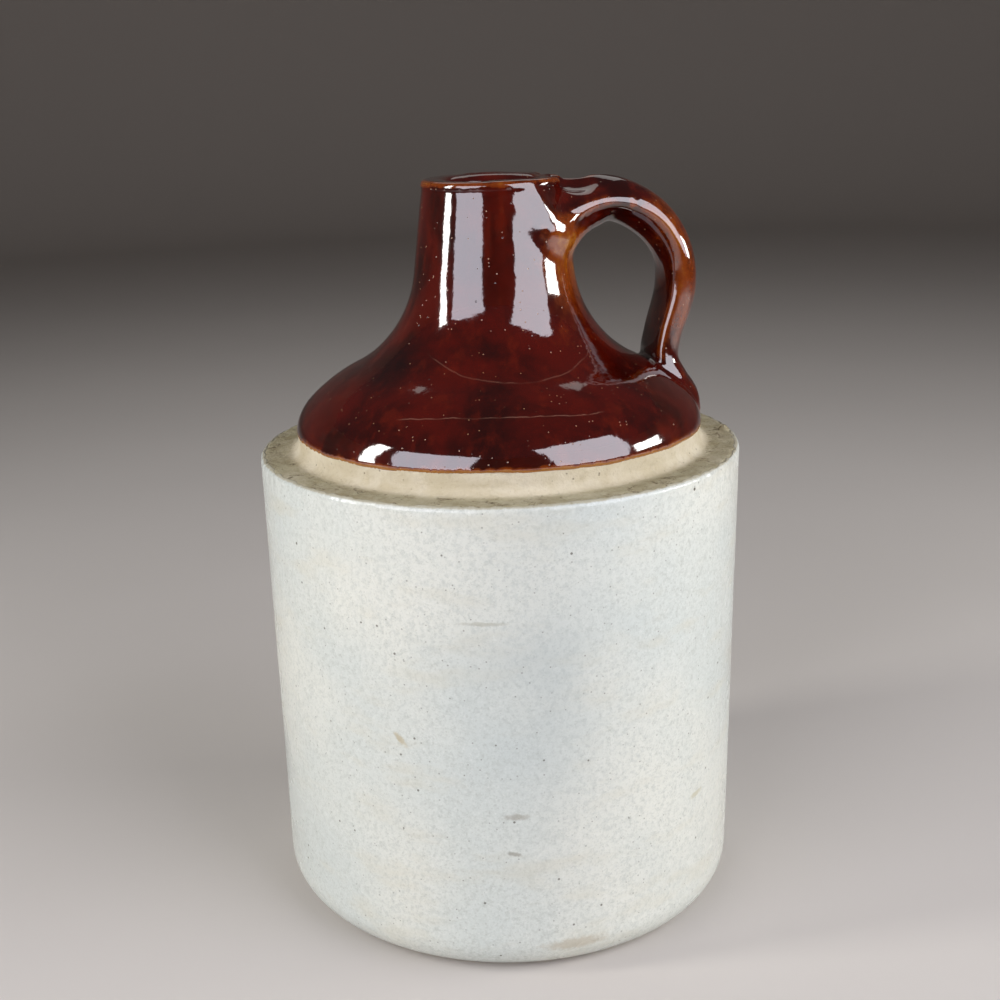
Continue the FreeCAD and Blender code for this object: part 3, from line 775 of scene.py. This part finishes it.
# Finishes. Each one is built from nodes; helpers keep the wiring readable.
class Finish:
    def __init__(self, name):
        self.material = bpy.data.materials.new(name)
        self.material.use_nodes = True
        self.tree = self.material.node_tree
        self.shader = self.tree.nodes["Principled BSDF"]

    def add(self, kind, **sockets):
        made = self.tree.nodes.new("ShaderNode" + kind)
        for name, value in sockets.items():
            self.give(made, name, value)
        return made

    def give(self, target, name, value):
        # i0, i1 and so on are sockets by number; _ stands for a space in a socket's name
        byNumber = name[0] == "i" and name[1:].isdigit()
        socket = target.inputs[int(name[1:]) if byNumber else name.replace("_", " ")]
        if isinstance(value, bpy.types.NodeSocket):
            self.tree.links.new(value, socket)
        else:
            socket.default_value = value

    def math(self, operation, first, second=0.0, third=0.0):
        made = self.add("Math", i0=first, i1=second, i2=third)
        made.operation = operation
        return made.outputs[0]

    def plus(self, first, second):
        return self.math("ADD", first, second)

    def times(self, first, second):
        return self.math("MULTIPLY", first, second)

    def scaled(self, value, by, lift):
        return self.math("MULTIPLY_ADD", value, by, lift)

    def spread(self, value, low, high, to=(0.0, 1.0)):
        made = self.add("MapRange", Value=value)
        made.interpolation_type = "SMOOTHSTEP"
        for name, number in zip(("From Min", "From Max", "To Min", "To Max"), (low, high) + tuple(to)):
            made.inputs[name].default_value = number
        return made.outputs[0]

    def mixed(self, share, first, second):
        made = self.add("Mix")
        made.data_type = "RGBA"
        self.give(made, "i0", share)
        self.give(made, "i6", first)
        self.give(made, "i7", second)
        return made.outputs[2]

    def tinted(self, shade, tint, where, strength=1.0):
        # a shade with some of a tint in it where the value is high
        share = where if strength == 1.0 else self.times(where, strength)
        return self.mixed(share, shade, color(*tint))

    def places(self, stretch=(1, 1, 1)):
        where = self.add("TexCoord").outputs["Object"]
        made = self.add("Mapping", Vector=where)
        made.inputs["Scale"].default_value = stretch
        return made.outputs[0]

    def noise(self, where, scale, detail=3.0, rough=0.55, shift=0.0):
        made = self.add("TexNoise", Vector=where, Scale=scale, Detail=detail, Roughness=rough)
        made.inputs["Distortion"].default_value = shift
        return made.outputs["Fac"]

    def specks(self, where, scale, low, high, least, most, channel=0):
        # small round spots in some of a pattern's cells, 1 in the middle of each
        made = self.add("TexVoronoi", Vector=where, Scale=scale)
        spot = self.spread(made.outputs["Distance"], low, high, (1.0, 0.0))
        tone = self.add("SeparateColor", Color=made.outputs["Color"]).outputs[channel]
        return self.times(spot, self.spread(tone, least, most))

    def value(self, name):
        made = self.add("Attribute")
        made.attribute_name = name
        return made.outputs["Fac"]

    def bump(self, height, distance, strength=1.0):
        made = self.add("Bump", Height=height)
        made.inputs["Distance"].default_value = distance
        made.inputs["Strength"].default_value = strength
        return made.outputs[0]


def color(red, green, blue):
    # a colour as it looks on a screen, 0 to 255, for a node's socket
    def plain(part):
        part /= 255
        return part / 12.92 if part <= 0.04045 else ((part + 0.055) / 1.055) ** 2.4
    return (plain(red), plain(green), plain(blue), 1.0)


brownLook = {
    "deep": (40, 3, 1), "deepLight": (76, 9, 2),     # the thick glaze
    "runs": (96, 22, 5),
    "warm": (118, 50, 8), "amber": (158, 98, 26),    # where it lies thinner and thinnest
    # the darkest brown: glaze pooled thick in broad hollows, and painted shade on the shoulder's left side
    # and a small place on its front
    "pooledAndPaintedShade": (24, 7, 6),
    "freckle": (178, 138, 98), "pinhole": (16, 6, 5), "hairline": (150, 112, 92),
    # fine lines round the shoulder: bearing, height in metres, rise to its sides, reach in radians,
    # half width in metres, strength
    "hairlines": [(-101, 0.2028, -0.0042, 0.58, 0.00022, 1.0), (-92, 0.2112, 0.0125, 0.82, 0.0003, 0.5)],
    "hairlineStrength": 0.42,
    "ior": 2.0,                                      # a glassy glaze mirrors strongly
}


def hairline(f, parts, side, height, rise, reach, width, strength):
    x, y, z = parts
    turn = f.math("SUBTRACT", f.math("ARCTAN2", y, x), math.radians(side))
    wander = f.scaled(f.noise(f.places(), 70.0, 3.0, 0.6), 0.0022, height - 0.0011)
    level = f.math("MULTIPLY_ADD", f.times(turn, turn), rise, wander)
    off = f.math("ABSOLUTE", f.math("SUBTRACT", z, level))
    line = f.spread(off, 0.0, width, (1.0, 0.0))
    broken = f.spread(f.noise(f.places(), 140.0, 2.0, 0.6), 0.36, 0.56, (0.25, 1.0))
    ends = f.spread(f.math("ABSOLUTE", turn), reach * 0.85, reach, (1.0, 0.0))
    return f.times(f.times(f.times(line, broken), ends), strength)


def brownGlaze():
    look = brownLook
    f = Finish("brownGlaze")
    where = f.places()
    parts = f.add("SeparateXYZ", Vector=where).outputs
    cloud = f.noise(where, 34.0, 4.0, 0.6, 0.4)
    small = f.noise(where, 210.0, 3.0, 0.6)
    mottle = f.noise(where, 640.0, 3.0, 0.65)
    runs = f.noise(f.places((1, 1, 0.22)), 150.0, 3.0, 0.6)      # drawn out down the wall
    shade = f.mixed(f.spread(cloud, 0.35, 0.65), color(*look["deep"]), color(*look["deepLight"]))
    shade = f.tinted(shade, look["runs"], f.spread(runs, 0.5, 0.72), 0.5)
    thin = f.value("thin")
    for pattern, by, lift in ((cloud, 0.8, -0.4), (small, 0.55, -0.27), (mottle, 0.5, -0.25),
                              (runs, 0.5, -0.25)):
        thin = f.plus(thin, f.scaled(pattern, by, lift))
    shade = f.tinted(shade, look["warm"], f.spread(thin, 0.25, 0.8))
    shade = f.tinted(shade, look["amber"], f.spread(thin, 0.75, 1.2))
    thick = f.plus(f.value("body"), f.scaled(cloud, 0.6, -0.3))
    # darkest where the glaze pools thick, and where painted shade lies on the shoulder
    shade = f.tinted(shade, look["pooledAndPaintedShade"], f.spread(thick, -0.2, -0.75))
    freckles = f.specks(where, 800.0, 0.10, 0.24, 0.91, 0.93)
    shade = f.tinted(shade, look["freckle"], freckles, 0.75)
    pinholes = f.specks(where, 330.0, 0.06, 0.13, 0.93, 0.95, 2)
    shade = f.tinted(shade, look["pinhole"], pinholes, 0.8)
    first, second = (hairline(f, parts, *line) for line in look["hairlines"])
    lines = f.math("MAXIMUM", first, second)
    shade = f.tinted(shade, look["hairline"], lines, look["hairlineStrength"])
    f.give(f.shader, "Base_Color", shade)
    f.give(f.shader, "Roughness", f.plus(f.scaled(small, 0.07, 0.03), f.times(lines, 0.25)))
    f.shader.inputs["IOR"].default_value = look["ior"]
    peel = f.times(f.noise(where, 420.0, 2.0, 0.5), 0.12)
    height = f.plus(peel, f.times(f.noise(where, 90.0, 2.0, 0.5), 0.6))
    height = f.math("SUBTRACT", height, f.times(f.plus(freckles, pinholes), 0.3))
    f.give(f.shader, "Normal", f.bump(height, 0.0006, 0.4))
    return f.material


whiteLook = {
    "cool": (205, 212, 205), "creamy": (221, 223, 211),
    "fine": (184, 190, 181), "light": (232, 233, 226), "dark": (166, 168, 156),  # its close speckle
    # the cloud colour is the bluish grey of the painted shade on the front of the wall
    "flow": (206, 202, 180), "cloud": (166, 178, 178),
    "iron": (72, 64, 50),
    # iron specks: cells to a metre, where a speck begins and ends, how many cells are bare, strength
    "ironSpecks": [(420.0, 0.07, 0.17, 0.62, 0.5), (190.0, 0.06, 0.11, 0.80, 0.75),
                   (75.0, 0.03, 0.055, 0.80, 0.9)],
    "edge": (178, 170, 142),
    "stainStrength": 0.6,
    "ior": 1.55,
}


def smear(f, parts, side, height, wide, tall, lean):
    # one stain on the wall: how much of it there is here, from 0 to 1
    x, y, z = parts
    turn = f.math("SUBTRACT", f.math("ARCTAN2", y, x), math.radians(side))
    up = f.math("SUBTRACT", z, height / 1000)
    across = f.math("DIVIDE", f.plus(turn, f.times(up, lean)), wide)
    level = f.math("DIVIDE", up, tall / 1000)
    away = f.math("SQRT", f.plus(f.times(across, across), f.times(level, level)))
    ragged = f.scaled(f.noise(f.places(), 420.0, 3.0, 0.7), 1.2, -0.6)
    return f.spread(f.plus(away, ragged), 0.4, 1.1, (1.0, 0.0))


def whiteGlazeFinish():
    look = whiteLook
    f = Finish("whiteGlaze")
    where = f.places()
    parts = f.add("SeparateXYZ", Vector=where).outputs
    cloud = f.noise(where, 13.0, 4.0, 0.5, 0.2)
    fine = f.noise(where, 520.0, 3.0, 0.7)
    pepper = f.noise(where, 1250.0, 2.0, 0.6)
    flow = f.noise(f.places((1, 1, 3.2)), 28.0, 3.0, 0.6)        # drawn out round the wall
    shade = f.mixed(f.spread(cloud, 0.35, 0.68), color(*look["cool"]), color(*look["creamy"]))
    shade = f.tinted(shade, look["fine"], f.spread(fine, 0.42, 0.7), 0.55)
    shade = f.tinted(shade, look["light"], f.spread(pepper, 0.52, 0.75), 0.4)
    shade = f.tinted(shade, look["dark"], f.spread(pepper, 0.44, 0.3), 0.35)
    shade = f.tinted(shade, look["flow"], f.spread(flow, 0.5, 0.74), 0.35)
    # painted shade: the front between the two window lamps turned cooler and darker
    shade = f.tinted(shade, look["cloud"], f.value("cool"))
    for scale, small, large, bare, strength in look["ironSpecks"]:
        specks = f.specks(where, scale, small, large, bare, bare + 0.04)
        shade = f.tinted(shade, look["iron"], specks, strength)
    for *stain, tint in whiteCoat["stains"]:
        shade = f.tinted(shade, tint, smear(f, parts, *stain), look["stainStrength"])
    rim = f.spread(f.plus(f.value("edge"), f.scaled(fine, 0.8, -0.4)), 0.35, 0.95)
    shade = f.tinted(shade, look["edge"], rim, 0.8)
    f.give(f.shader, "Base_Color", shade)
    f.give(f.shader, "Roughness", f.spread(f.noise(where, 24.0, 3.0, 0.6), 0.35, 0.7, (0.16, 0.34)))
    f.shader.inputs["IOR"].default_value = look["ior"]
    height = f.plus(f.times(fine, 0.45), f.noise(where, 120.0, 2.0, 0.5))
    f.give(f.shader, "Normal", f.bump(height, 0.0005, 0.45))
    return f.material


clayLook = {
    "light": (212, 203, 178), "tan": (198, 187, 157), "grain": (170, 156, 122),    # the clean collar
    "soil": (176, 169, 138), "soilDark": (148, 138, 103), "soilGrain": (200, 194, 166),  # the ledge
    "stain": (92, 76, 48), "speck": (80, 66, 44),
    "ior": 1.45,
}


def bareClay():
    look = clayLook
    f = Finish("bareClay")
    where = f.places()
    dirt = f.value("dirt")
    cloud = f.noise(where, 55.0, 5.0, 0.65, 0.5)
    patch = f.noise(where, 130.0, 4.0, 0.65, 0.4)
    grain = f.noise(where, 620.0, 4.0, 0.7)
    shade = f.mixed(f.spread(cloud, 0.35, 0.65), color(*look["light"]), color(*look["tan"]))
    shade = f.tinted(shade, look["grain"], f.spread(grain, 0.5, 0.8), 0.4)
    ground = f.mixed(f.spread(patch, 0.35, 0.68), color(*look["soil"]), color(*look["soilDark"]))
    ground = f.tinted(ground, look["soilGrain"], f.spread(grain, 0.5, 0.78), 0.5)
    soiled = f.spread(f.plus(cloud, f.times(grain, 0.5)), 0.45, 0.95, (0.6, 1.0))
    shade = f.mixed(f.times(dirt, soiled), shade, ground)
    stain = f.spread(f.noise(where, 210.0, 4.0, 0.75, 0.6), 0.54, 0.68)
    shade = f.tinted(shade, look["stain"], f.times(f.plus(dirt, 0.12), stain), 0.75)
    shade = f.tinted(shade, look["speck"], f.specks(where, 420.0, 0.08, 0.2, 0.75, 0.85), 0.6)
    f.give(f.shader, "Base_Color", shade)
    f.give(f.shader, "Roughness", f.spread(grain, 0.3, 0.7, (0.66, 0.9)))
    f.shader.inputs["IOR"].default_value = look["ior"]
    f.give(f.shader, "Normal", f.bump(f.plus(grain, f.times(cloud, 0.8)), 0.0007, 0.7))
    return f.material


# Values painted on the vertices: where the glazes lie thin or thick, where painted shade darkens the brown
# top and the front of the white coat, and where the clay is dirty.
glazeFlow = {
    "ridgeGain": 14.0, "ridgeRange": (-1.2, 1.4), "ridgeThin": 0.75,
    "bodyGain": 16.0, "bodyRange": (-1.5, 1.5),
    "handleThin": 0.36, "handleOut": (46, 66), "handleUp": (ledgeHeight + 24, ledgeHeight + 40),
    "lipThick": 0.25, "lipUp": (rimHeight - 4.5, rimHeight - 2.5), "lipOut": (36, 24),
    "edgeThin": 0.55, "edgeUp": (1.2, 0.2),
    # soft places: their middle, how far they reach each way, and how much
    "thinPlaces": [((22, 0, 250), (11, math.inf, 14), 0.8), ((26, 0, 236), (13, math.inf, 20), 0.4)],
    # painted shade: the first place darkens the left side of the shoulder and neck, where the glaze mirrors
    # only the dark room; the second darkens a small place on the front of the shoulder
    "paintedShadeAndDarkPlaces": [((-46, -18, 216), (30, 30, 20), 0.5), ((-10, -38, 220), (16, 9, 5), 0.3)],
}


def softPlaces(points, places):
    return sum(np.exp(-np.sum(((points - middle) / reach) ** 2, axis=1)) * strength
               for middle, reach, strength in places)


def paintGlazedTop():
    s = glazeFlow
    normals = np.empty(topPoints.size)
    brownTop.data.vertices.foreach_get("normal", normals)
    fine, broad = glazeThickness(topPoints, topFaces, normals.reshape(-1, 3))
    scale = glazedTop["grain"] ** 2
    x, y, z = topPoints.T
    ridge = np.clip(fine / scale * s["ridgeGain"], *s["ridgeRange"])
    handleSide = smoothStep(*s["handleOut"], x) * smoothStep(*s["handleUp"], z)
    lip = smoothStep(*s["lipUp"], z) * smoothStep(*s["lipOut"], x)
    edge = smoothStep(*s["edgeUp"], z - glazeEdge(x, y))
    paint(brownTop, "thin", ridge * s["ridgeThin"] + handleSide * s["handleThin"]
          + softPlaces(topPoints, s["thinPlaces"]) - lip * s["lipThick"] + edge * s["edgeThin"])
    paint(brownTop, "body", np.clip(broad / scale * s["bodyGain"], *s["bodyRange"])
          - softPlaces(topPoints, s["paintedShadeAndDarkPlaces"]))


def paintWhiteCoat():
    x, y, z = coatPoints.T
    # the cool value is painted shade, strongest on the front between the two window lamps
    side, height, wide, tall, strength = whiteCoat["paintedShadePatch"]
    turn = np.angle(np.exp(1j * (np.arctan2(y, x) - math.radians(side))))
    cool = np.exp(-(turn / wide) ** 2 - ((z - height) / tall) ** 2)
    paint(whiteGlaze, "cool", cool * strength * (0.8 + 0.2 * lumps(coatPoints, 18.0, 47)))
    paint(whiteGlaze, "edge", smoothStep(ledgeHeight - 1.3, ledgeHeight - 0.1, z))


def paintClay():
    x, y, z = clayPoints.T
    paint(clayJug, "dirt", smoothStep(collarRadius + 1.0, collarRadius + 5.0, np.hypot(x, y))
          * smoothStep(ledgeHeight - 6, ledgeHeight - 1, z))


paintGlazedTop()
paintWhiteCoat()
paintClay()
brownTop.data.materials.append(brownGlaze())
clayJug.data.materials.append(bareClay())
whiteGlaze.data.materials.append(whiteGlazeFinish())
print("finishes done")

studio = {
    "floorRadius": 3.6, "coveRound": 1.2, "wallHeight": 2.2,     # in metres
    # painted shade: the floor darkens with distance into the backdrop colour, as the far floor and wall lie
    # in dim light
    "floorColor": (208, 203, 196), "mottle": 4, "shadedBackdropColor": (194, 185, 175),
    "fadeFrom": 0.5, "fadeTo": 2.6,  # the floor's colour turns into the backdrop's over this way
    "worldColor": (226, 228, 232), "worldStrength": 0.056,
    "aim": (0, 0, 0.20),             # what the lamps point at
    # each soft lamp: bearing round the jug from the camera, how high in degrees, distance, width,
    # height, power, colour
    "lamps": [
        ("windowRight", 52, 25, 1.15, 0.96, 1.00, 11.8, (242, 241, 252)),
        ("spotRight", 88, 9, 1.0, 0.34, 0.20, 3.4, (255, 253, 250)),
        ("windowLeft", -37, 18, 1.2, 0.92, 0.78, 8.4, (241, 239, 252)),
        ("stripLeft", -74, 18, 1.05, 0.18, 0.72, 5.4, (255, 253, 250)),
        ("backSoft", 180, 48, 1.3, 1.0, 0.6, 1.6, (255, 252, 248)),
    ],
}
cameraPlace = {
    "turn": -12.0,                   # it stands this far round from straight in front, in degrees
    "distance": 0.5285, "height": 0.3122,            # from the jug's axis, and above its foot
    "down": 19.21, "aside": -3.197, "roll": -2.389,  # where it looks, in degrees
    "lens": 51.206, "shiftX": 0.0743, "shiftY": 0.0687,
}


def studioFloor():
    # a plain round floor that curves up far away into a low wall
    s = studio
    cove = arcPoints((s["floorRadius"] - s["coveRound"], s["coveRound"]), s["coveRound"], -90, 0, 5)
    line = [(0.4, 0.0), (1.0, 0.0)] + cove + [(s["floorRadius"], s["wallHeight"])]
    columns = 144
    ring = np.arange(columns)
    after = (ring + 1) % columns
    angle = ring * 2 * math.pi / columns
    rows = np.array([[(r * math.cos(a), r * math.sin(a), z) for a in angle] for r, z in line])
    faces = [face[:, ::-1] for face in ringFaces(columns, len(rows))]
    middle = len(rows) * columns
    faces.append(np.stack([ring, after, np.full(columns, middle), np.full(columns, -1)], axis=1))
    points = np.vstack([rows.reshape(-1, 3), [(0, 0, 0)]]) * 1000
    floor = makeMesh("studioFloor", points, np.vstack(faces))
    f = Finish("studioFloor")
    where = f.places()
    away = f.add("VectorMath", i0=where)
    away.operation = "LENGTH"
    darker = (part - s["mottle"] for part in s["floorColor"])
    near = f.mixed(f.spread(f.noise(where, 3.0, 2.0), 0.2, 0.8), color(*s["floorColor"]), color(*darker))
    # painted shade: darker with distance from the jug
    f.give(f.shader, "Base_Color", f.tinted(near, s["shadedBackdropColor"],
                                            f.spread(away.outputs["Value"], s["fadeFrom"], s["fadeTo"])))
    f.shader.inputs["Roughness"].default_value = 0.9
    floor.data.materials.append(f.material)


def softLamp(name, turn, raised, distance, width, height, power, tint):
    lamp = bpy.data.lights.new(name, "AREA")
    lamp.shape = "RECTANGLE"
    lamp.size, lamp.size_y = width, height
    lamp.energy = power
    lamp.color = color(*tint)[:3]
    piece = bpy.data.objects.new(name, lamp)
    bpy.context.scene.collection.objects.link(piece)
    side, up = math.radians(turn + cameraPlace["turn"]), math.radians(raised)
    aim = Vector(studio["aim"])
    place = aim + distance * Vector((math.sin(side) * math.cos(up), -math.cos(side) * math.cos(up),
                                     math.sin(up)))
    facing = (aim - place).to_track_quat("-Z", "Y").to_matrix().to_4x4()
    piece.matrix_world = Matrix.Translation(place) @ facing
    piece.visible_camera = False


def standCamera():
    c = cameraPlace
    view = bpy.data.cameras.new("camera")
    view.lens, view.sensor_width = c["lens"], 36.0
    view.shift_x, view.shift_y = c["shiftX"], c["shiftY"]
    view.clip_start, view.clip_end = 0.01, 20
    piece = bpy.data.objects.new("camera", view)
    bpy.context.scene.collection.objects.link(piece)
    stand = (Matrix.Rotation(math.radians(c["turn"]), 4, "Z")
             @ Matrix.Translation((0, -c["distance"], c["height"])))
    look = (Matrix.Rotation(math.radians(-c["aside"]), 4, "Z")
            @ Matrix.Rotation(math.radians(90 - c["down"]), 4, "X")
            @ Matrix.Rotation(math.radians(c["roll"]), 4, "Z"))
    piece.matrix_world = stand @ look
    bpy.context.scene.camera = piece


def studioAir():
    world = bpy.data.worlds.new("studioAir")
    bpy.context.scene.world = world
    world.use_nodes = True
    air = world.node_tree.nodes["Background"]
    air.inputs["Color"].default_value = color(*studio["worldColor"])
    air.inputs["Strength"].default_value = studio["worldStrength"]


studioFloor()
for lamp in studio["lamps"]:
    softLamp(*lamp)
studioAir()
bpy.context.scene.view_settings.view_transform = "Standard"
standCamera()
print("studio done")
